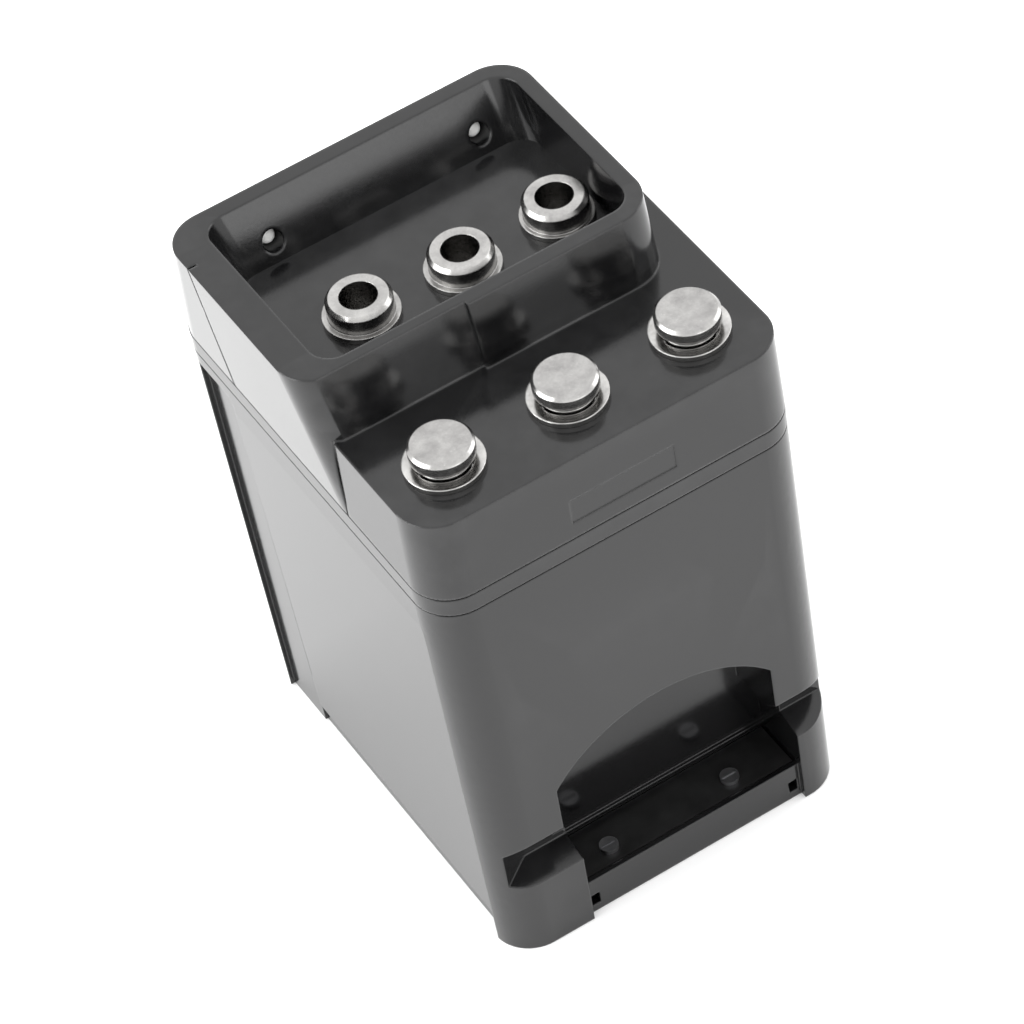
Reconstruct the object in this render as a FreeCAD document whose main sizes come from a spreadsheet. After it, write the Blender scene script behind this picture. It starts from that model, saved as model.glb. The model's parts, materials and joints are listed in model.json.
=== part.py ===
import FreeCAD, Part
import os
import re
import Sketcher

# Hand-sized plug-in battery module.  Front face towards -Y, +Z up, origin at the
# bottom face's centre.  Depths marked "f" are measured backwards from the front face.

doc = FreeCAD.newDocument("battery_module")
sheet = doc.addObject("Spreadsheet::Sheet", "Sizes")
PLAIN = (
    # whole object
    ("case_w", 66.0), ("case_d", 81.4), ("case_top", 85.8), ("draft", 1.7), ("draft_front", 0.4), ("corner", 7.0),
    ("wall", 2.4), ("floor_t", 2.6), ("collar_h", 3.5), ("deck_top", 101.8), ("deck_t", 2.2),
    ("deck_in", 0.2), ("rim_top", 113.4), ("tray_floor", 103.5), ("skirt_t", 1.4), ("skirt_low", 81.6),
    ("gap", 0.3),
    # tray tower, at its foot and at its rim
    ("foot_right", 27.3), ("foot_front", 20.4), ("foot_rear", 81.1), ("rim_left", 36.0),
    ("rim_right", 27.9), ("rim_front", 27.1), ("rim_rear", 70.6), ("rim_corner", 6.5),
    ("jog_x", 6.4), ("jog", 0.8), ("lip_left", 5.8), ("lip_right", 2.7), ("lip_rear", 2.8),
    ("lip_front", 2.7), ("tray_corner", 4.0), ("pan_left", 28.5), ("pan_front", 31.0), ("pan_rear", 63.0),
    ("vent_left", 20.0), ("vent_right", 17.6), ("vent_r", 1.8), ("vent_z", 106.6),
    ("slit_front", 25.7), ("slit_rear", 60.9), ("slit_w", 0.4), ("slit_deep", 1.5),
    ("label_left", 8.1), ("label_right", 10.5), ("label_low", 89.1), ("label_high", 93.8), ("label_deep", 0.1),
    # front recess, groove and lower plate
    ("groove_low", 14.6), ("groove_high", 27.2), ("groove_floor_low", 17.3), ("groove_floor_high", 21.0),
    ("groove_deep", 5.3), ("arch_left", 19.0), ("arch_right", 21.4), ("arch_r", 26.4), ("arch_top", 43.6),
    ("arch_deep", 12.0), ("shelf_z", 18.5), ("bay_left", 16.6), ("bay_right", 24.6), ("ledge_z", 8.7), ("ledge_t", 0.6),
    ("plate_t", 1.2), ("sill_z", 7.4), ("sill_front", 1.6), ("sill_lip", 1.0), ("screw_left", 9.3), ("screw_right", 14.1),
    ("screw_f", 5.9), ("screw_head", 1.6), ("screw_r", 0.8), ("screw_len", 4.0), ("slot_w", 1.6),
    # left face
    ("chan_front", 64.5), ("chan_rear", 75.0), ("chan_face", 30.0), ("chan_deep", 1.2), ("chan_top", 79.8),
    ("panel_front", 6.6), ("panel_step", 1.0), ("panel_low", 4.0),
    # cells, holders and strips
    ("cell_r", 9.25), ("cell_len", 65.0), ("pitch", 18.9), ("cell_first", 29.8), ("cell_low", 5.4),
    ("foot_r", 6.0), ("button_r", 2.8), ("plate_w", 28.4), ("holder_rear", 4.4), ("holder_round", 5.0), ("holder_t", 2.0), ("strip_t", 0.4),
    ("strip_w", 8.0), ("upper_t", 2.2), ("sheet_t", 0.4), ("pad_t", 5.0), ("board_f", 16.0), ("board_t", 1.4),
    ("seat_low", 80.0), ("seat_t", 2.0), ("lead_r", 0.9), ("lead_low", 60.0),
    # sprung front terminals
    ("pin_pitch", 21.8), ("pin_f", 11.4), ("flange_r", 6.4), ("flange_t", 1.0), ("barrel_r", 5.4),
    ("barrel_low", 93.05), ("guide_r", 2.55), ("shaft_r", 2.5), ("shaft_low", 88.0), ("neck_r", 4.4),
    ("neck_low", 102.6), ("head_r", 5.2), ("head_low", 104.4), ("head_top", 106.6), ("clip_low", 92.0),
    ("clip_t", 1.0), ("clip_r", 4.0), ("clip_root", 2.0), ("coil_r", 3.1), ("wire_r", 0.35),
    ("nut_t", 3.2), ("nut_r", 7.6), ("lug_t", 0.8), ("lug_r", 7.4), ("lead_dx", 5.35),
    # hollow rear terminals
    ("socket_f", 44.0), ("socket_rim", 107.9), ("socket_r", 5.3), ("socket_bore", 3.05), ("socket_barrel", 4.6),
    ("socket_low", 96.0), ("bore_low", 98.0), ("socket_flange", 6.0), ("socket_nut_r", 6.4), ("ring_r", 6.6),
    ("riser_w", 6.0), ("riser_t", 0.8), ("riser_off", 5.4),
)
for row, (word, value) in enumerate(PLAIN, start=1):
    sheet.set("A%d" % row, word)
    sheet.set("B%d" % row, str(value))
    sheet.setAlias("B%d" % row, word)
doc.recompute()
NAMES = {word for word, value in PLAIN}
finished = []


def ex(text):
    """An expression with every size word pointed at the sheet."""
    return re.sub(r"[A-Za-z_]\w*", lambda m: "Sizes." + m.group(0) if m.group(0) in NAMES else m.group(0), str(text))


def back(text):
    """Model y of a depth measured from the front face."""
    return "(%s) - case_d/2" % text


def bind(obj, **values):
    for key, text in values.items():
        obj.setExpression(key.replace("__", "."), ex(text))
    return obj


def place(obj, x, y, z):
    return bind(obj, Placement__Base__x=x, Placement__Base__y=y, Placement__Base__z=z)


def box(name, x0, x1, y0, y1, z0, z1):
    """Block between two x, two depths behind the front face and two heights."""
    obj = doc.addObject("Part::Box", name)
    bind(obj, Length="(%s) - (%s)" % (x1, x0), Width="(%s) - (%s)" % (y1, y0), Height="(%s) - (%s)" % (z1, z0))
    return place(obj, x0, back(y0), z0)


def rod(name, x, y, z0, z1, r):
    obj = doc.addObject("Part::Cylinder", name)
    bind(obj, Radius=r, Height="(%s) - (%s)" % (z1, z0))
    return place(obj, x, back(y), z0)


def rod_back(name, x, z, y0, y1, r):
    """Cylinder running backwards along +Y."""
    obj = doc.addObject("Part::Cylinder", name)
    obj.Placement.Rotation = FreeCAD.Rotation(FreeCAD.Vector(1, 0, 0), -90)
    bind(obj, Radius=r, Height="(%s) - (%s)" % (y1, y0))
    return place(obj, x, back(y0), z)


def hexagon(name, x, y, z0, z1, r):
    obj = doc.addObject("Part::Prism", name)
    obj.Polygon = 6
    bind(obj, Circumradius=r, Height="(%s) - (%s)" % (z1, z0))
    return place(obj, x, back(y), z0)


def wedge_back(name, y0, near, y1, far):
    """Block whose x and z limits change from depth y0 to depth y1."""
    obj = doc.addObject("Part::Wedge", name)
    bind(obj, Xmin=near[0], Xmax=near[1], Zmin=near[2], Zmax=near[3], Ymin=back(y0),
         X2min=far[0], X2max=far[1], Z2min=far[2], Z2max=far[3], Ymax=back(y1))
    return obj


def wedge_up(name, z0, low, z1, high):
    """Block whose x and depth limits change from height z0 to height z1."""
    obj = doc.addObject("Part::Wedge", name)
    obj.Placement.Rotation = FreeCAD.Rotation(FreeCAD.Vector(1, 0, 0), 90)
    bind(obj, Xmin=low[0], Xmax=low[1], Zmin="-(%s)" % back(low[3]), Zmax="-(%s)" % back(low[2]), Ymin=z0,
         X2min=high[0], X2max=high[1], Z2min="-(%s)" % back(high[3]), Z2max="-(%s)" % back(high[2]), Ymax=z1)
    return obj


def outline(name, x0, x1, y0, y1, z, r):
    """Rounded rectangle drawn from its own front left corner."""
    sk = doc.addObject("Sketcher::SketchObject", name)
    w, l, c = 60.0, 70.0, 5.0
    V = FreeCAD.Vector
    corners = ((w - c, c, -90), (w - c, l - c, 0), (c, l - c, 90), (c, c, 180))
    lines = ((V(c, 0, 0), V(w - c, 0, 0)), (V(w, c, 0), V(w, l - c, 0)),
             (V(w - c, l, 0), V(c, l, 0)), (V(0, l - c, 0), V(0, c, 0)))
    for start, end in lines:
        sk.addGeometry(Part.LineSegment(start, end), False)
    for cx, cy, begin in corners:
        circle = Part.Circle(V(cx, cy, 0), V(0, 0, 1), c)
        a = begin * 3.141592653589793 / 180.0
        sk.addGeometry(Part.ArcOfCircle(circle, a, a + 1.5707963267948966), False)
    for i in range(4):
        sk.addConstraint(Sketcher.Constraint("Tangent", i, 2, 4 + i, 1))
        sk.addConstraint(Sketcher.Constraint("Tangent", 4 + i, 2, (i + 1) % 4, 1))
    for i, kind in enumerate(("Horizontal", "Vertical", "Horizontal", "Vertical")):
        sk.addConstraint(Sketcher.Constraint(kind, i))
    for i in (5, 6, 7):
        sk.addConstraint(Sketcher.Constraint("Equal", 4, i))
    sk.addConstraint(Sketcher.Constraint("PointOnObject", 0, 1, -1))
    sk.addConstraint(Sketcher.Constraint("PointOnObject", 3, 1, -2))
    for kind, first, second, word, value in (("DistanceX", (3, 1), (1, 1), "across", w),
                                             ("DistanceY", (0, 1), (2, 1), "deep", l)):
        index = sk.addConstraint(Sketcher.Constraint(kind, first[0], first[1], second[0], second[1], value))
        sk.renameConstraint(index, word)
    index = sk.addConstraint(Sketcher.Constraint("Radius", 4, c))
    sk.renameConstraint(index, "round")
    bind(sk, Constraints__across="(%s) - (%s)" % (x1, x0), Constraints__deep="(%s) - (%s)" % (y1, y0),
         Constraints__round=r)
    return place(sk, x0, back(y0), z)


def loft(name, z0, low, z1, high):
    """Solid between two rounded rectangles, each given as x0, x1, depth 0, depth 1, radius."""
    first = outline(name + "_low", low[0], low[1], low[2], low[3], z0, low[4])
    second = outline(name + "_high", high[0], high[1], high[2], high[3], z1, high[4])
    obj = doc.addObject("Part::Loft", name)
    obj.Sections = [first, second]
    obj.Solid = True
    obj.Ruled = True
    return obj


def cut(name, base, *tools):
    for i, tool in enumerate(tools):
        step = doc.addObject("Part::Cut", "%s_c%d" % (name, i))
        step.Base = base
        step.Tool = tool
        base = step
    return base


def fuse(name, *shapes):
    obj = doc.addObject("Part::MultiFuse", name)
    obj.Shapes = list(shapes)
    obj.Refine = True
    return obj


def common(name, base, tool):
    obj = doc.addObject("Part::Common", name)
    obj.Base = base
    obj.Tool = tool
    return obj


def node(obj, label):
    obj.Label = label
    finished.append(obj)
    return obj


def tube(name, x, y, z0, z1, outer, inner):
    return cut(name, rod(name + "_out", x, y, z0, z1, outer), rod(name + "_in", x, y, z0, z1, inner))


def footprint(inset, r, near=None):
    """Case outline set in by one amount at the left and rear, and by another at the right and front."""
    near = near or inset
    return ("-case_w/2 + (%s)" % inset, "case_w/2 - (%s)" % near, near, "case_d - (%s)" % inset, r)


def slab(name, x0, x1, y0, y1, z0, z1, r):
    """Flat plate with rounded corners."""
    return loft(name, z0, (x0, x1, y0, y1, r), z1, (x0, x1, y0, y1, r))


# ---- case shell -------------------------------------------------------------------------
collar_low = "case_top - collar_h"
outer = loft("case_outer", "0", footprint("draft", "corner", "draft_front"), collar_low,
             footprint("draft*collar_h/case_top", "corner", "draft_front*collar_h/case_top"))
inner = loft("case_inner", "floor_t", footprint("draft + wall", "corner - wall", "draft_front + wall"), "case_top",
             footprint("wall", "corner - wall"))
pocket_wall = box("pocket_wall", "-arch_left - wall", "bay_right + wall", "0", "arch_deep + wall", "0",
                  "arch_top + wall + 1")
groove_wall = box("groove_wall", "-case_w/2", "case_w/2", "0", "groove_deep + wall", "groove_low - wall",
                  "groove_high + wall")
channel_wall = box("channel_wall", "-case_w/2", "-chan_face + 1.4", "chan_front - wall", "chan_rear + wall", "0",
                   "chan_top + 1.5")
cavity = cut("cavity", inner, pocket_wall, groove_wall, channel_wall)
groove = wedge_back("groove", "-2", ("-case_w/2 - 3.5", "case_w", "groove_low", "groove_high"), "groove_deep",
                    ("-case_w/2 + 8.5", "case_w", "groove_floor_low", "groove_floor_high"))
arch_box = box("arch_box", "-arch_left", "arch_right", "-1", "arch_deep", "shelf_z", "arch_top + 2")
arch_round = rod_back("arch_round", "(arch_right - arch_left)/2", "arch_top - arch_r", "-2", "arch_deep + 1", "arch_r")
arch = common("arch", arch_box, arch_round)
bay = box("bay", "-bay_left", "bay_right", "-1", "arch_deep", "sill_z", "shelf_z + 4")
plate_seat = box("plate_seat", "-bay_left", "bay_right", "sill_front + sill_lip", "arch_deep", "sill_z - plate_t",
                 "sill_z + 0.1")
sill = box("sill", "-bay_left", "bay_right", "-1", "sill_front", "-1", "sill_z + 0.1")
slot_left = box("slot_left", "-bay_left + 0.6", "-bay_left + 0.6 + slot_w", "0", "6", "1.5", "4")
slot_right = box("slot_right", "bay_right - 0.6 - slot_w", "bay_right - 0.6", "0", "6", "1.5", "4")
pilot_left = rod("pilot_left", "-screw_left", "screw_f", "sill_z - plate_t - screw_len", "sill_z", "screw_r + gap")
pilot_right = rod("pilot_right", "screw_right", "screw_f", "sill_z - plate_t - screw_len", "sill_z", "screw_r + gap")
channel = wedge_up("channel", "-0.01", ("-case_w", "-case_w/2 + draft + chan_deep", "chan_front", "chan_rear"),
                   "chan_top", ("-case_w", "-case_w/2 + chan_deep", "chan_front", "chan_rear"))
panel = wedge_up("panel", "-0.01", ("-case_w", "-case_w/2 + draft + panel_step", "panel_front", "chan_front"),
                 "chan_top", ("-case_w", "-case_w/2 + 0.08", "panel_front", "chan_front"))
panel_foot = box("panel_foot", "-case_w", "-chan_face + 0.3", "panel_front", "chan_front", "-1", "panel_low")
hollow_case = cut("hollow_case", outer, cavity, groove, arch, bay, plate_seat, sill, slot_left, slot_right, pilot_left,
                  pilot_right, channel, panel, panel_foot)
rib_a = box("rib_a", "arch_right - 7.4", "arch_right - 6.4", "arch_deep - 1.2", "arch_deep + 1", "29", "arch_top - 1")
rib_b = box("rib_b", "arch_right - 3.4", "arch_right - 2.4", "arch_deep - 1.2", "arch_deep + 1", "29", "arch_top - 3")
ledge = box("ledge", "-bay_left - 0.5", "bay_right + 0.5", "arch_deep - ledge_t", "arch_deep + 0.5", "ledge_z",
            "ledge_z + ledge_t")
node(fuse("case_body", hollow_case, rib_a, rib_b, ledge), "case_shell")

collar_out = loft("collar_out", collar_low,
                  footprint("draft*collar_h/case_top", "corner", "draft_front*collar_h/case_top"), "case_top",
                  footprint("0", "corner"))
line_out = loft("line_out", collar_low + " - 0.01", footprint("-2", "corner"), collar_low + " + 0.25",
                footprint("-2", "corner"))
line_in = loft("line_in", collar_low + " - 0.02", footprint("0.5", "corner - 0.4"), collar_low + " + 0.26",
               footprint("0.5", "corner - 0.4"))
line = cut("line", line_out, line_in)
collar_in = loft("collar_in", collar_low, footprint("wall", "corner - wall"), "case_top",
                 footprint("wall", "corner - wall"))
node(cut("collar_body", collar_out, collar_in, line), "collar_ring")

# ---- cap shell with deck, tray and skirt --------------------------------------------------
deck = loft("deck", "case_top", footprint("0", "corner"), "deck_top", footprint("deck_in", "corner"))
rear_clear = box("rear_clear", "-case_w", "foot_right - 1", "45", "case_d + 10", "case_top - 1", "deck_top + 1")
deck_only = cut("deck_only", deck, rear_clear)
tower = loft("tower", "case_top", ("-case_w/2", "foot_right", "foot_front", "foot_rear", "corner"), "rim_top",
             ("-rim_left", "rim_right", "rim_front", "rim_rear", "rim_corner"))
LEAN = "(rim_front - foot_front)/(rim_top - case_top)"
jog_low = "foot_front + %s*(deck_top - case_top)" % LEAN
jog_plain = wedge_up("jog_plain", "deck_top", ("-case_w", "-jog_x", "0", "%s + jog" % jog_low), "rim_top + 0.01",
                     ("-case_w", "-jog_x", "0", "rim_front + jog"))
tower_jog = cut("tower_jog", tower, jog_plain)
cap_outer = fuse("cap_outer", deck_only, tower_jog)
deck_in_solid = loft("deck_hollow", "case_top - 0.01", footprint("wall", "corner - wall"), "deck_top - deck_t",
                     footprint("wall + deck_in", "corner - wall"))
rear_keep = box("rear_keep", "-case_w", "foot_right + wall - 1", "45", "case_d + 10", "case_top - 1", "deck_top + 1")
deck_hollow = cut("deck_hollow_cut", deck_in_solid, rear_keep)
UP = "(tray_floor - deck_t - case_top)/(rim_top - case_top)"
tower_hollow = loft("tower_hollow", "case_top - 0.01",
                    ("-case_w/2 + wall", "foot_right - wall + 0.5", "foot_front + wall", "foot_rear - wall",
                     "corner - wall"),
                    "tray_floor - deck_t",
                    ("-case_w/2 + wall - (rim_left - case_w/2)*%s" % UP, "foot_right - wall + 0.5",
                     "foot_front + wall + (rim_front - foot_front)*%s + jog" % UP,
                     "foot_rear - wall - (foot_rear - rim_rear)*%s" % UP, "corner - wall"))
pan = loft("pan", "tray_floor", ("-pan_left", "rim_right - lip_right", "pan_front", "pan_rear", "tray_corner"),
           "rim_top + 0.01", ("-rim_left + lip_left", "rim_right - lip_right", "rim_front + lip_front",
                              "rim_rear - lip_rear", "tray_corner"))
vent_l = rod_back("vent_l", "-vent_left", "vent_z", "58", "case_d", "vent_r")
vent_r_tool = rod_back("vent_r_tool", "vent_right", "vent_z", "58", "case_d", "vent_r")
slit_f = wedge_up("slit_f", "case_top - 1", ("-case_w", "-case_w/2 + slit_deep", "slit_front - slit_w/2",
                                             "slit_front + slit_w/2"),
                  "rim_top + 1", ("-case_w", "-case_w/2 + slit_deep - 2", "slit_front - slit_w",
                                  "slit_front + slit_w*1.5"))
slit_r = wedge_up("slit_r", "case_top - 1", ("-case_w", "-case_w/2 + slit_deep", "slit_rear - slit_w/2",
                                             "slit_rear + slit_w/2"),
                  "rim_top + 1", ("-case_w", "-rim_left + slit_deep", "slit_rear - slit_w/2",
                                  "slit_rear + slit_w/2"))
label = box("label", "-label_left", "label_right", "-1", "label_deep + 0.1", "label_low", "label_high")
seam_out = loft("seam_out", "case_top - 0.01", footprint("-2", "corner"), "case_top + 0.25", footprint("-2", "corner"))
seam_in = loft("seam_in", "case_top - 0.02", footprint("0.45", "corner - 0.4"), "case_top + 0.26",
               footprint("0.45", "corner - 0.4"))
seam = cut("seam", seam_out, seam_in)
SIDES = (("left", "-pin_pitch", -1), ("middle", "0", 0), ("right", "pin_pitch", 1))
SOCKETS = (("left", "-16.2", "socket_f + 0.6", "socket_flange + 0.2"), ("middle", "1.3", "socket_f - 0.6",
            "socket_flange + 0.2"), ("right", "18.8", "socket_f", "socket_flange"))
deck_holes = [rod("deck_hole_" + side, x, "pin_f", "deck_top - 5", "deck_top + 1", "barrel_r + gap")
              for side, x, sign in SIDES]
pan_holes = [rod("pan_hole_" + side, x, f, "tray_floor - 5", "tray_floor + 1", "socket_barrel + gap")
             for side, x, f, fr in SOCKETS]
cap_hollow = cut("cap_hollow", cap_outer, deck_hollow, tower_hollow, pan, vent_l, vent_r_tool, slit_f, slit_r, label,
                 seam, *(deck_holes + pan_holes))
skirt_out = loft("skirt_out", "skirt_low", footprint("wall + gap", "corner - wall - gap"), "case_top + 1",
                 footprint("wall + gap", "corner - wall - gap"))
skirt_in = loft("skirt_in", "skirt_low - 0.01", footprint("wall + gap + skirt_t", "corner - wall - gap - skirt_t"),
                "case_top + 1.01", footprint("wall + gap + skirt_t", "corner - wall - gap - skirt_t"))
skirt_step = loft("skirt_step", "case_top", footprint("wall - 0.5", "corner - wall"), "case_top + 1",
                  footprint("wall - 0.5", "corner - wall"))
skirt = cut("skirt", fuse("skirt_solid", skirt_out, skirt_step), skirt_in)
cap_body = fuse("cap_body", cap_hollow, skirt)
rim_space = box("rim_space", "-case_w", "case_w", "-5", "case_d + 5", "tray_floor", "rim_top + 5")
node(cut("cap_low", cap_body, rim_space), "cap_shell")
node(common("cap_high", cap_body, rim_space), "tray_rim")

# ---- lower plate and its screws ----------------------------------------------------------
plate = box("plate_blank", "-bay_left + gap", "bay_right - gap", "sill_front + sill_lip + 0.1", "arch_deep - 0.1",
            "sill_z - plate_t", "sill_z")
plate_holes = [rod("plate_hole_a", "-screw_left", "screw_f", "0", "20", "screw_r + gap"),
               rod("plate_hole_b", "screw_right", "screw_f", "0", "20", "screw_r + gap")]
node(cut("plate", plate, *plate_holes), "recess_plate")
for side, x in (("left", "-screw_left"), ("right", "screw_right")):
    head = rod("screw_head_" + side, x, "screw_f", "sill_z", "sill_z + 0.8", "screw_head")
    shank = rod("screw_shank_" + side, x, "screw_f", "sill_z - plate_t - screw_len + 0.5", "sill_z + 0.4", "screw_r")
    drive = box("screw_drive_" + side, x + " - 1.3", x + " + 1.3", "screw_f - 0.2", "screw_f + 0.2", "sill_z + 0.5",
                "sill_z + 2")
    node(cut("screw_" + side, fuse("screw_blank_" + side, head, shank), drive), "recess_screw_" + side)

# ---- cells, holders, strips, sheets and pad ------------------------------------------------
columns = ("-pitch", "0", "pitch")
rows = ("cell_first", "cell_first + pitch", "cell_first + 2*pitch")
cell_top = "cell_low + cell_len"
upper_top = "cell_low + cell_len + upper_t"
lower = slab("lower_blank", "-plate_w", "plate_w", "board_f + gap", "case_d - holder_rear", "cell_low - holder_t",
             "cell_low", "holder_round")
upper = slab("upper_blank", "-plate_w", "plate_w", "board_f + gap", "case_d - holder_rear", cell_top, upper_top,
             "holder_round")
lower_holes = []
upper_holes = []
number = 0
for x in columns:
    for f in rows:
        number += 1
        tag = "cell_%d" % number
        lower_holes.append(rod(tag + "_lh", x, f, "0", "cell_low + 1", "foot_r + gap"))
        upper_holes.append(rod(tag + "_uh", x, f, cell_top + " - 1", upper_top + " + 1", "foot_r + gap"))
        foot = rod(tag + "_foot", x, f, "cell_low - holder_t", "cell_low", "foot_r")
        can = rod(tag + "_can", x, f, "cell_low", cell_top, "cell_r")
        button = rod(tag + "_button", x, f, cell_top, upper_top, "button_r")
        node(fuse(tag + "_body", foot, can, button), tag)
node(cut("lower_holder_body", lower, *lower_holes), "lower_holder")
legs = [box("leg_" + tag, x0, x1, "board_f + 1.6", "board_f + 4.6", upper_top + " - 0.5", "seat_low")
        for tag, x0, x1 in (("a", "-plate_w + 2.5", "-plate_w + 5.5"), ("b", "plate_w - 5.5", "plate_w - 2.5"))]
node(fuse("upper_holder_body", cut("upper_cut", upper, *upper_holes), *legs), "upper_holder")
for (side, word, sign), x in zip(SIDES, columns):
    low = "cell_low - holder_t"
    node(box("bottom_strip_" + side, x + " - strip_w/2", x + " + strip_w/2", "cell_first - 4", rows[2] + " + 4",
             low + " - strip_t", low), "bottom_strip_" + side)
    node(box("top_strip_" + side, x + " - strip_w/2", x + " + strip_w/2", "cell_first - 4", rows[2] + " + 4",
             upper_top, upper_top + " + strip_t"), "top_strip_" + side)
node(slab("bottom_sheet_body", "-plate_w + 0.5", "plate_w - 0.5", "cell_first - 6", "case_d - holder_rear - 0.5",
          "floor_t", "cell_low - holder_t - strip_t", "holder_round"), "bottom_sheet")
sheet_low = upper_top + " + strip_t"
sheet_top = upper_top + " + strip_t + sheet_t"
top_blank = slab("top_sheet_blank", "-plate_w + 0.5", "plate_w - 0.5", "cell_first - 9",
                 "case_d - holder_rear - 0.5", sheet_low, sheet_top, "holder_round")
slots = [box("sheet_slot_" + side, x + " - riser_w/2 - 0.5", x + " + riser_w/2 + 0.5", f + " + riser_off - 0.5",
             f + " + riser_off + riser_t + 0.5", sheet_low + " - 1", sheet_top + " + 1") for side, x, f, fr in SOCKETS]
node(cut("top_sheet_body", top_blank, *slots), "top_sheet")
node(box("foam_body", "-26", "26", "56", "76", sheet_top, sheet_top + " + pad_t"), "foam_pad")

# ---- protection board, its parts and the spring seat ----------------------------------------
node(box("board_body", "-27", "27", "board_f", "board_f + board_t", "cell_low", cell_top), "protection_board")
node(box("chip_body", "-10", "-2", "board_f - 1.4", "board_f", "52", "60"), "board_chip")
seat = box("seat_blank", "-plate_w + 0.5", "plate_w - 0.5", "5", "board_f + 4.6", "seat_low", "seat_low + seat_t")
LEADS = {"left": "-pin_pitch + lead_dx", "middle": "lead_dx", "right": "pin_pitch - lead_dx"}
seat_holes = [rod("seat_hole_" + side, x, "board_f - lead_r", "seat_low - 1", "seat_low + 5", "lead_r + gap")
              for side, x in LEADS.items()]
node(cut("seat_body", seat, *seat_holes), "spring_seat")

# ---- sprung front terminals ------------------------------------------------------------------
nut_top = "deck_top - deck_t"
for side, x, sign in SIDES:
    flange = rod("flange_" + side, x, "pin_f", "deck_top", "deck_top + flange_t", "flange_r")
    barrel = rod("barrel_" + side, x, "pin_f", "barrel_low", "deck_top + 0.5", "barrel_r")
    guide = rod("guide_" + side, x, "pin_f", "barrel_low - 1", "deck_top + 2", "guide_r")
    well = rod("well_" + side, x, "pin_f", "deck_top - 1.3", "deck_top + 2", "neck_r + gap")
    node(cut("ferrule_body_" + side, fuse("ferrule_blank_" + side, flange, barrel), guide, well), "ferrule_" + side)
    nut = hexagon("nut_blank_" + side, x, "pin_f", nut_top + " - nut_t", nut_top, "nut_r")
    nut_hole = rod("nut_hole_" + side, x, "pin_f", nut_top + " - nut_t - 1", nut_top + " + 1", "barrel_r + gap")
    node(cut("nut_body_" + side, nut, nut_hole), "ferrule_nut_" + side)
    lug_high = nut_top + " - nut_t"
    node(tube("lug_" + side, x, "pin_f", lug_high + " - lug_t", lug_high, "lug_r", "barrel_r + gap"),
         "ferrule_lug_" + side)
    head = rod("head_" + side, x, "pin_f", "head_low", "head_top - 0.5", "head_r")
    crown = doc.addObject("Part::Cone", "crown_" + side)
    place(bind(crown, Radius1="head_r", Radius2="head_r - 0.5", Height="0.5"), x, back("pin_f"), "head_top - 0.5")
    neck = rod("neck_" + side, x, "pin_f", "neck_low", "head_low", "neck_r")
    shaft = rod("shaft_" + side, x, "pin_f", "shaft_low", "neck_low", "shaft_r")
    pin = fuse("pin_blank_" + side, head, crown, neck, shaft)
    rings = [tube("ring_%s_%d" % (side, i), x, "pin_f", "head_low - 0.5 - %g" % (0.6 * i),
                  "head_low - 0.25 - %g" % (0.6 * i), "head_r", "neck_r - 0.25") for i in range(2)]
    root = tube("root_" + side, x, "pin_f", "clip_low", "clip_low + clip_t", "shaft_r + 1", "clip_root")
    node(cut("pin_" + side, pin, root, *rings), "plunger_" + side)
    node(tube("clip_" + side, x, "pin_f", "clip_low", "clip_low + clip_t", "clip_r", "clip_root + gap"),
         "retainer_" + side)
    helix = doc.addObject("Part::Helix", "helix_" + side)
    span = "(clip_low - seat_low - seat_t - 2*wire_r)"
    bind(helix, Pitch=span + "/5", Height=span, Radius="coil_r")
    place(helix, x, back("pin_f"), "seat_low + seat_t + wire_r")
    ring = doc.addObject("Part::Circle", "wire_" + side)
    ring.Placement.Rotation = FreeCAD.Rotation(FreeCAD.Vector(1, 0, 0), 90)
    bind(ring, Radius="wire_r")
    place(ring, x + " + coil_r", back("pin_f"), "seat_low + seat_t + wire_r")
    coil = doc.addObject("Part::Sweep", "coil_" + side)
    coil.Sections = [ring]
    coil.Spine = (helix, [])
    coil.Solid = True
    coil.Frenet = True
    node(coil, "spring_" + side)
    node(rod("lead_body_" + side, LEADS[side], "board_f - lead_r", "lead_low", lug_high + " - lug_t", "lead_r"),
         "lead_" + side)

# ---- hollow rear terminals ---------------------------------------------------------------------
under = "tray_floor - deck_t"
for side, x, f, flange_size in SOCKETS:
    flange = rod("rear_flange_" + side, x, f, "tray_floor", "tray_floor + 1", flange_size)
    ring = rod("rear_ring_" + side, x, f, "tray_floor + 0.5", "socket_rim - 0.7", "socket_r")
    lip = doc.addObject("Part::Cone", "rear_lip_" + side)
    place(bind(lip, Radius1="socket_r", Radius2="socket_r - 0.6", Height="0.7"), x, back(f), "socket_rim - 0.7")
    barrel = rod("rear_barrel_" + side, x, f, "socket_low", "tray_floor + 0.5", "socket_barrel")
    bore = rod("rear_bore_" + side, x, f, "bore_low", "socket_rim + 1", "socket_bore")
    node(cut("socket_body_" + side, fuse("socket_blank_" + side, flange, ring, lip, barrel), bore), "socket_" + side)
    nut = hexagon("rear_nut_blank_" + side, x, f, under + " - nut_t", under, "socket_nut_r")
    hole = rod("rear_nut_hole_" + side, x, f, under + " - nut_t - 1", under + " + 1", "socket_barrel + gap")
    node(cut("rear_nut_" + side, nut, hole), "socket_nut_" + side)
    ring_top = under + " - nut_t"
    eye = rod("eye_" + side, x, f, ring_top + " - lug_t", ring_top, "ring_r")
    tab = box("tab_" + side, x + " - riser_w/2", x + " + riser_w/2", f + " + riser_off",
              f + " + riser_off + riser_t", sheet_low, ring_top)
    eye_hole = rod("eye_hole_" + side, x, f, ring_top + " - lug_t - 1", ring_top + " + 1", "socket_barrel + gap")
    node(cut("riser_body_" + side, fuse("riser_blank_" + side, eye, tab), eye_hole), "riser_" + side)

doc.recompute()

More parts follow.
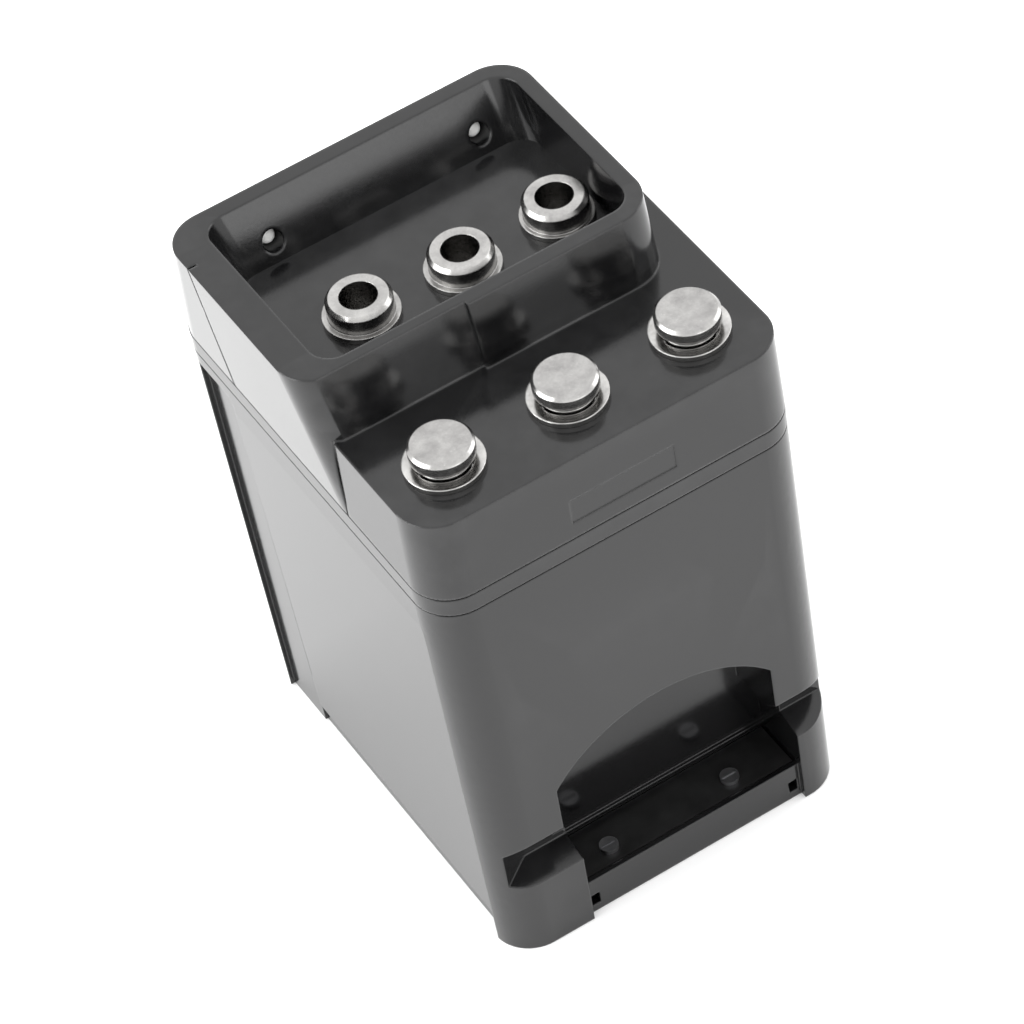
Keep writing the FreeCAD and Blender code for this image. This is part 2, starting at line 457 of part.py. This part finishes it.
faults = []
for obj in doc.Objects:
    if "Invalid" in obj.State or "Error" in obj.State:
        faults.append("%s state %s" % (obj.Name, obj.State))
for obj in finished:
    shape = obj.Shape
    if shape.isNull() or not shape.isValid() or not shape.Solids:
        faults.append("%s has no sound solid" % obj.Label)
if faults:
    raise RuntimeError("; ".join(faults))
os.makedirs("parts", exist_ok=True)
for obj in finished:
    obj.Shape.exportStep("parts/%s.step" % obj.Label)
print(len(finished), "parts written")
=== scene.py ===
import json
import math

import bmesh
import bpy
from mathutils import Matrix, Vector


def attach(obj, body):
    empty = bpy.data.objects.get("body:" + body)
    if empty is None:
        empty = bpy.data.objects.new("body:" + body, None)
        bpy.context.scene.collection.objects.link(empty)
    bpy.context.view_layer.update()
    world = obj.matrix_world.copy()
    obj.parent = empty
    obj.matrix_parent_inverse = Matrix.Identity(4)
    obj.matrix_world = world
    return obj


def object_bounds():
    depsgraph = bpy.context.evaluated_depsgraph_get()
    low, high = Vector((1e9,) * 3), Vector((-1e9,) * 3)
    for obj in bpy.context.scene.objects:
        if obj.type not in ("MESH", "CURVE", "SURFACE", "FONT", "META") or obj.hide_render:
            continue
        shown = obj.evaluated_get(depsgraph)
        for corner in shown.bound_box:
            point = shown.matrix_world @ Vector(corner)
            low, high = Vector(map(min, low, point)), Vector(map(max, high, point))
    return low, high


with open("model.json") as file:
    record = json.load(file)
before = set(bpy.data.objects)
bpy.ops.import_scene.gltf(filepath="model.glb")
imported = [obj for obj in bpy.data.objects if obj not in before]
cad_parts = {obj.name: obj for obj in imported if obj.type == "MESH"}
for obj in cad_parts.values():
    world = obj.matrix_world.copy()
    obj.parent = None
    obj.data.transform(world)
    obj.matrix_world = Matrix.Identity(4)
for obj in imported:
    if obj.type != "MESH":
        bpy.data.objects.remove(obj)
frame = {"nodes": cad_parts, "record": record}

CAD_BOX = [list(corner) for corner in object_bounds()]
NODES = frame["nodes"]
FRONT = CAD_BOX[0][1]          # the front face, in metres like every length here
TRAY_FLOOR = 0.1035            # height at which tray_rim stands on cap_shell
SPECK_SCALE = 2.7              # specks are this much finer than the grain
EDGE_SAMPLES = 6


# ---- node materials ---------------------------------------------------------------------

def new_material(name):
    """An empty material with one Principled shader."""
    mat = bpy.data.materials.new(name)
    mat.use_nodes = True
    tree = mat.node_tree
    tree.nodes.clear()
    out = tree.nodes.new("ShaderNodeOutputMaterial")
    shader = tree.nodes.new("ShaderNodeBsdfPrincipled")
    tree.links.new(shader.outputs["BSDF"], out.inputs["Surface"])
    return mat, tree, shader


def noise(tree, coords, scale, detail=4.0, rough=0.55, stretch=None):
    """Noise between 0 and 1, drawn out along an axis when stretch is given."""
    source = coords
    if stretch:
        mapping = tree.nodes.new("ShaderNodeMapping")
        mapping.inputs["Scale"].default_value = stretch
        tree.links.new(coords, mapping.inputs["Vector"])
        source = mapping.outputs["Vector"]
    node = tree.nodes.new("ShaderNodeTexNoise")
    node.inputs["Scale"].default_value = scale
    node.inputs["Detail"].default_value = detail
    node.inputs["Roughness"].default_value = rough
    tree.links.new(source, node.inputs["Vector"])
    return node.outputs["Fac"]


def ramp(tree, fac, low, high, first, second):
    """Map low..high onto first..second."""
    node = tree.nodes.new("ShaderNodeMapRange")
    node.inputs["From Min"].default_value = low
    node.inputs["From Max"].default_value = high
    node.inputs["To Min"].default_value = first
    node.inputs["To Max"].default_value = second
    tree.links.new(fac, node.inputs["Value"])
    return node.outputs["Result"]


def mix(tree, fac, first, second):
    """Blend two colours, each a colour or a node's output."""
    node = tree.nodes.new("ShaderNodeMix")
    node.data_type = "RGBA"
    tree.links.new(fac, node.inputs[0])
    for socket, value in ((node.inputs[6], first), (node.inputs[7], second)):
        if isinstance(value, tuple):
            socket.default_value = (*value, 1.0)
        else:
            tree.links.new(value, socket)
    return node.outputs[2]


def maths(tree, kind, first, second=0.0):
    """One Math node; second is left unused by kinds that take a single value."""
    node = tree.nodes.new("ShaderNodeMath")
    node.operation = kind
    for socket, value in ((node.inputs[0], first), (node.inputs[1], second)):
        if isinstance(value, (int, float)):
            socket.default_value = value
        else:
            tree.links.new(value, socket)
    return node.outputs[0]


def rounded_normal(tree, coords, geometry, radius, seam):
    """The normal of an edge rounded to the radius, left flat at the height of a hidden seam."""
    bevel = tree.nodes.new("ShaderNodeBevel")
    bevel.samples = EDGE_SAMPLES
    bevel.inputs["Radius"].default_value = radius
    if seam is None:
        return bevel.outputs["Normal"]
    split = tree.nodes.new("ShaderNodeSeparateXYZ")
    tree.links.new(coords, split.inputs["Vector"])
    gap = maths(tree, "ABSOLUTE", maths(tree, "SUBTRACT", split.outputs["Z"], seam))
    away = maths(tree, "GREATER_THAN", gap, radius * 1.3)
    blend = tree.nodes.new("ShaderNodeMix")
    blend.data_type = "VECTOR"
    tree.links.new(away, blend.inputs["Factor"])
    tree.links.new(geometry.outputs["Normal"], blend.inputs[4])
    tree.links.new(bevel.outputs["Normal"], blend.inputs[5])
    return blend.outputs[1]


def surface(name, colour, dark, rough, metal=0.0, grain=900.0, grain_depth=0.02, cloud=60.0, wear=None,
            stretch=None, coat=0.0, edge=0.35, rounded=0.0, seam=None):
    """Grain, cloudy colour and roughness, bump and worn edges, at the object's own scale."""
    mat, tree, shader = new_material(name)
    coords = tree.nodes.new("ShaderNodeTexCoord").outputs["Object"]
    broad = noise(tree, coords, cloud, 5.0, 0.6, stretch)
    fine = noise(tree, coords, grain, 3.0, 0.6, stretch)
    specks = noise(tree, coords, grain * SPECK_SCALE, 2.0, 0.5)
    base = mix(tree, ramp(tree, broad, 0.3, 0.7, 0.0, 1.0), dark, colour)
    pale = tuple(min(1.0, c * 1.8 + 0.01) for c in colour)
    base = mix(tree, ramp(tree, specks, 0.62, 0.8, 0.0, 0.22), base, pale)
    geometry = tree.nodes.new("ShaderNodeNewGeometry")
    worn = ramp(tree, geometry.outputs["Pointiness"], 0.53, 0.62, 0.0, edge)
    worn = maths(tree, "MULTIPLY", worn, ramp(tree, noise(tree, coords, 260.0), 0.35, 0.7, 0.2, 1.0))
    tint = wear if wear else tuple(min(1.0, c * 2.2 + 0.02) for c in colour)
    base = mix(tree, worn, base, tint)
    tree.links.new(base, shader.inputs["Base Color"])
    roughness = ramp(tree, broad, 0.25, 0.75, rough * 0.88, rough * 1.12)
    roughness = maths(tree, "ADD", roughness, ramp(tree, fine, 0.3, 0.7, -0.025, 0.035))
    tree.links.new(roughness, shader.inputs["Roughness"])
    shader.inputs["Metallic"].default_value = metal
    shader.inputs["Coat Weight"].default_value = coat
    shader.inputs["Coat Roughness"].default_value = 0.0
    bump = tree.nodes.new("ShaderNodeBump")
    bump.inputs["Strength"].default_value = 0.35
    bump.inputs["Distance"].default_value = grain_depth / 1000.0
    tree.links.new(maths(tree, "ADD", fine, maths(tree, "MULTIPLY", specks, 0.4)), bump.inputs["Height"])
    if rounded:
        tree.links.new(rounded_normal(tree, coords, geometry, rounded, seam), bump.inputs["Normal"])
    tree.links.new(bump.outputs["Normal"], shader.inputs["Normal"])
    return mat


BLACK_PLASTIC = (0.0044, 0.0044, 0.0047)
BLACK_PLASTIC_DARK = (0.0036, 0.0036, 0.0038)
MATS = {
    "case_plastic": surface("case_gloss", BLACK_PLASTIC, BLACK_PLASTIC_DARK, 0.13, grain=2600.0,
                            grain_depth=0.006, cloud=34.0, rounded=0.0004),
    "cap_plastic": surface("cap_satin", BLACK_PLASTIC, BLACK_PLASTIC_DARK, 0.13, grain=3000.0,
                           grain_depth=0.010, cloud=44.0, rounded=0.0006, seam=TRAY_FLOOR),
    "plate_plastic": surface("plate_matt", (0.005, 0.005, 0.0052), (0.003, 0.003, 0.003), 0.34,
                             grain=2400.0),
    "screw_steel": surface("screw_dark_steel", (0.34, 0.34, 0.35), (0.2, 0.2, 0.21), 0.34, metal=1.0,
                           grain=3000.0),
    "cell_wrap": surface("cell_wrap", (0.06, 0.20, 0.42), (0.04, 0.15, 0.34), 0.24, grain=1500.0,
                         coat=0.4),
    "holder_plastic": surface("holder_matt", (0.05, 0.05, 0.052), (0.03, 0.03, 0.03), 0.5, grain=1800.0),
    "strip_nickel": surface("strip_nickel", (0.70, 0.68, 0.64), (0.56, 0.55, 0.52), 0.3, metal=1.0,
                            grain=800.0, stretch=(1.0, 8.0, 1.0)),
    "sheet_paper": surface("insulating_sheet", (0.50, 0.55, 0.47), (0.42, 0.47, 0.40), 0.8, grain=700.0,
                           grain_depth=0.03),
    "plug_white": surface("plug_white", (0.92, 0.92, 0.90), (0.84, 0.84, 0.82), 0.3, grain=1500.0),
    "foam": surface("foam", (0.045, 0.045, 0.045), (0.02, 0.02, 0.02), 0.95, grain=1100.0,
                    grain_depth=0.1),
    "board": surface("board_green", (0.02, 0.16, 0.07), (0.012, 0.10, 0.045), 0.3, grain=1200.0,
                     coat=0.5),
    "chip": surface("chip_black", (0.02, 0.02, 0.02), (0.012, 0.012, 0.012), 0.5, grain=2500.0),
    "bright_nickel": surface("bright_nickel", (0.40, 0.395, 0.385), (0.27, 0.265, 0.26), 0.2, metal=1.0,
                             grain=1500.0, grain_depth=0.006, cloud=420.0, rounded=0.0003, edge=0.5,
                             wear=(0.8, 0.79, 0.77)),
    "nut_steel": surface("zinc_steel", (0.6, 0.6, 0.6), (0.48, 0.48, 0.49), 0.3, metal=1.0),
    "copper": surface("copper", (0.72, 0.42, 0.24), (0.6, 0.32, 0.18), 0.3, metal=1.0),
    "lead_red": surface("lead_red", (0.42, 0.02, 0.02), (0.3, 0.015, 0.015), 0.4, grain=1500.0),
}
SLOT_OF = {part["node"]: part["material_slot"] for part in frame["record"]["subparts"]}
for name, obj in NODES.items():
    mat = MATS[SLOT_OF[name]]
    if not obj.material_slots:
        obj.data.materials.append(mat)
    for slot in obj.material_slots:
        slot.material = mat


# ---- painted glints: white domes in the tray's drain holes, their white colour standing in for the light there ---

GLINT_DOME_STEPS = 40
GLINT_DOME_TILT = math.radians(62)
GLINT_DOME_Y = FRONT + 0.0668
GLINT_DOME_Z = 0.10625
GLINT_DOME_PROFILE = ((0.0, 0.0005), (0.0005, 0.00046), (0.0009, 0.00034), (0.0012, 0.00016),
                  (0.00135, -0.0001), (0.0014, -0.0004), (0.0013, -0.0009))   # radius, then height


def ring(shape, radius, height):
    """One ring of the glint dome's turned profile, or its single top point."""
    if radius == 0.0:
        return [shape.verts.new((0, 0, height))]
    angles = [2 * math.pi * i / GLINT_DOME_STEPS for i in range(GLINT_DOME_STEPS)]
    return [shape.verts.new((radius * math.cos(a), radius * math.sin(a), height)) for a in angles]


def painted_glint_dome(name, x):
    """Small white dome facing forwards and up inside a drain hole. It is a painted glint: its white
    colour stands in for the light that shows in the hole.
    """
    mesh = bpy.data.meshes.new(name)
    shape = bmesh.new()
    rings = [ring(shape, radius, height) for radius, height in GLINT_DOME_PROFILE]
    for inner, outer in zip(rings, rings[1:]):
        for i in range(GLINT_DOME_STEPS):
            j = (i + 1) % GLINT_DOME_STEPS
            if len(inner) == 1:
                shape.faces.new((inner[0], outer[i], outer[j]))
            else:
                shape.faces.new((inner[i], outer[i], outer[j], inner[j]))
    shape.faces.new(list(reversed(rings[-1])))
    for face in shape.faces:
        face.smooth = True
    bmesh.ops.recalc_face_normals(shape, faces=shape.faces)
    shape.to_mesh(mesh)
    shape.free()
    obj = bpy.data.objects.new(name, mesh)
    place = Matrix.Translation((x, GLINT_DOME_Y, GLINT_DOME_Z))
    obj.matrix_world = place @ Matrix.Rotation(GLINT_DOME_TILT, 4, "X")
    bpy.context.scene.collection.objects.link(obj)
    # painted glint: the white plug colour stands in for light showing in the hole
    mesh.materials.append(MATS["plug_white"])
    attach(obj, "module")


# painted glints, one white dome in each drain hole
painted_glint_dome("drain_painted_glint_left", -0.020)
painted_glint_dome("drain_painted_glint_right", 0.0176)


# ---- floor, light and camera -----------------------------------------------------------------

FLOOR_REACH = 6.0
FLOOR_GAP = 0.0002             # keeps the floor off the underside
WORLD_STRENGTH = 1.6
CAMERA_PLACE = (-0.2243, -0.5106, 0.6391)
CAMERA_TURN = (42.9791, 7.4934, -31.7143)        # degrees about X, Y and Z
CAMERA_LENS = 177.8            # millimetres, for a sensor 36 mm wide


def floor():
    """A wide white floor, part of the stage."""
    mesh = bpy.data.meshes.new("floor")
    corners = [(-FLOOR_REACH, -FLOOR_REACH, 0), (FLOOR_REACH, -FLOOR_REACH, 0),
               (FLOOR_REACH, FLOOR_REACH, 0), (-FLOOR_REACH, FLOOR_REACH, 0)]
    mesh.from_pydata(corners, [], [(0, 1, 2, 3)])
    obj = bpy.data.objects.new("floor", mesh)
    bpy.context.scene.collection.objects.link(obj)
    mat, tree, shader = new_material("floor_white")
    coords = tree.nodes.new("ShaderNodeTexCoord").outputs["Object"]
    tone = mix(tree, noise(tree, coords, 3.0), (0.93, 0.93, 0.93), (0.96, 0.96, 0.96))
    tree.links.new(tone, shader.inputs["Base Color"])
    shader.inputs["Roughness"].default_value = 0.7
    mesh.materials.append(mat)
    obj.location.z = -FLOOR_GAP


def softbox(name, place, target, size, power):
    """A square area light at place, turned towards target."""
    light = bpy.data.lights.new(name, "AREA")
    light.shape = "SQUARE"
    light.size = size
    light.energy = power
    obj = bpy.data.objects.new(name, light)
    obj.location = place
    obj.rotation_euler = (Vector(target) - Vector(place)).to_track_quat("-Z", "Y").to_euler()
    bpy.context.scene.collection.objects.link(obj)


def white_world():
    """Even white light from all round, as on a white studio sweep."""
    world = bpy.data.worlds.new("studio")
    world.use_nodes = True
    background = world.node_tree.nodes["Background"]
    background.inputs["Color"].default_value = (1, 1, 1, 1)
    background.inputs["Strength"].default_value = WORLD_STRENGTH
    bpy.context.scene.world = world
    bpy.context.scene.view_settings.view_transform = "Standard"


def photo_camera():
    """The photo's viewpoint, in the model's own frame."""
    camera = bpy.data.cameras.new("camera")
    camera.lens = CAMERA_LENS
    camera.sensor_width = 36.0
    camera.clip_start = 0.01
    eye = bpy.data.objects.new("camera", camera)
    eye.location = CAMERA_PLACE
    eye.rotation_euler = [math.radians(angle) for angle in CAMERA_TURN]
    bpy.context.scene.collection.objects.link(eye)
    bpy.context.scene.camera = eye


floor()
softbox("left_box", (-0.75, 0.15, 0.32), (-0.1, 0.05, 0.0), 0.7, 8.0)
softbox("front_box", (0.15, -0.95, 0.35), (0, 0, 0.05), 0.4, 1.0)
softbox("right_box", (0.8, -0.1, 0.4), (0, 0, 0.06), 0.5, 2.0)
white_world()
photo_camera()
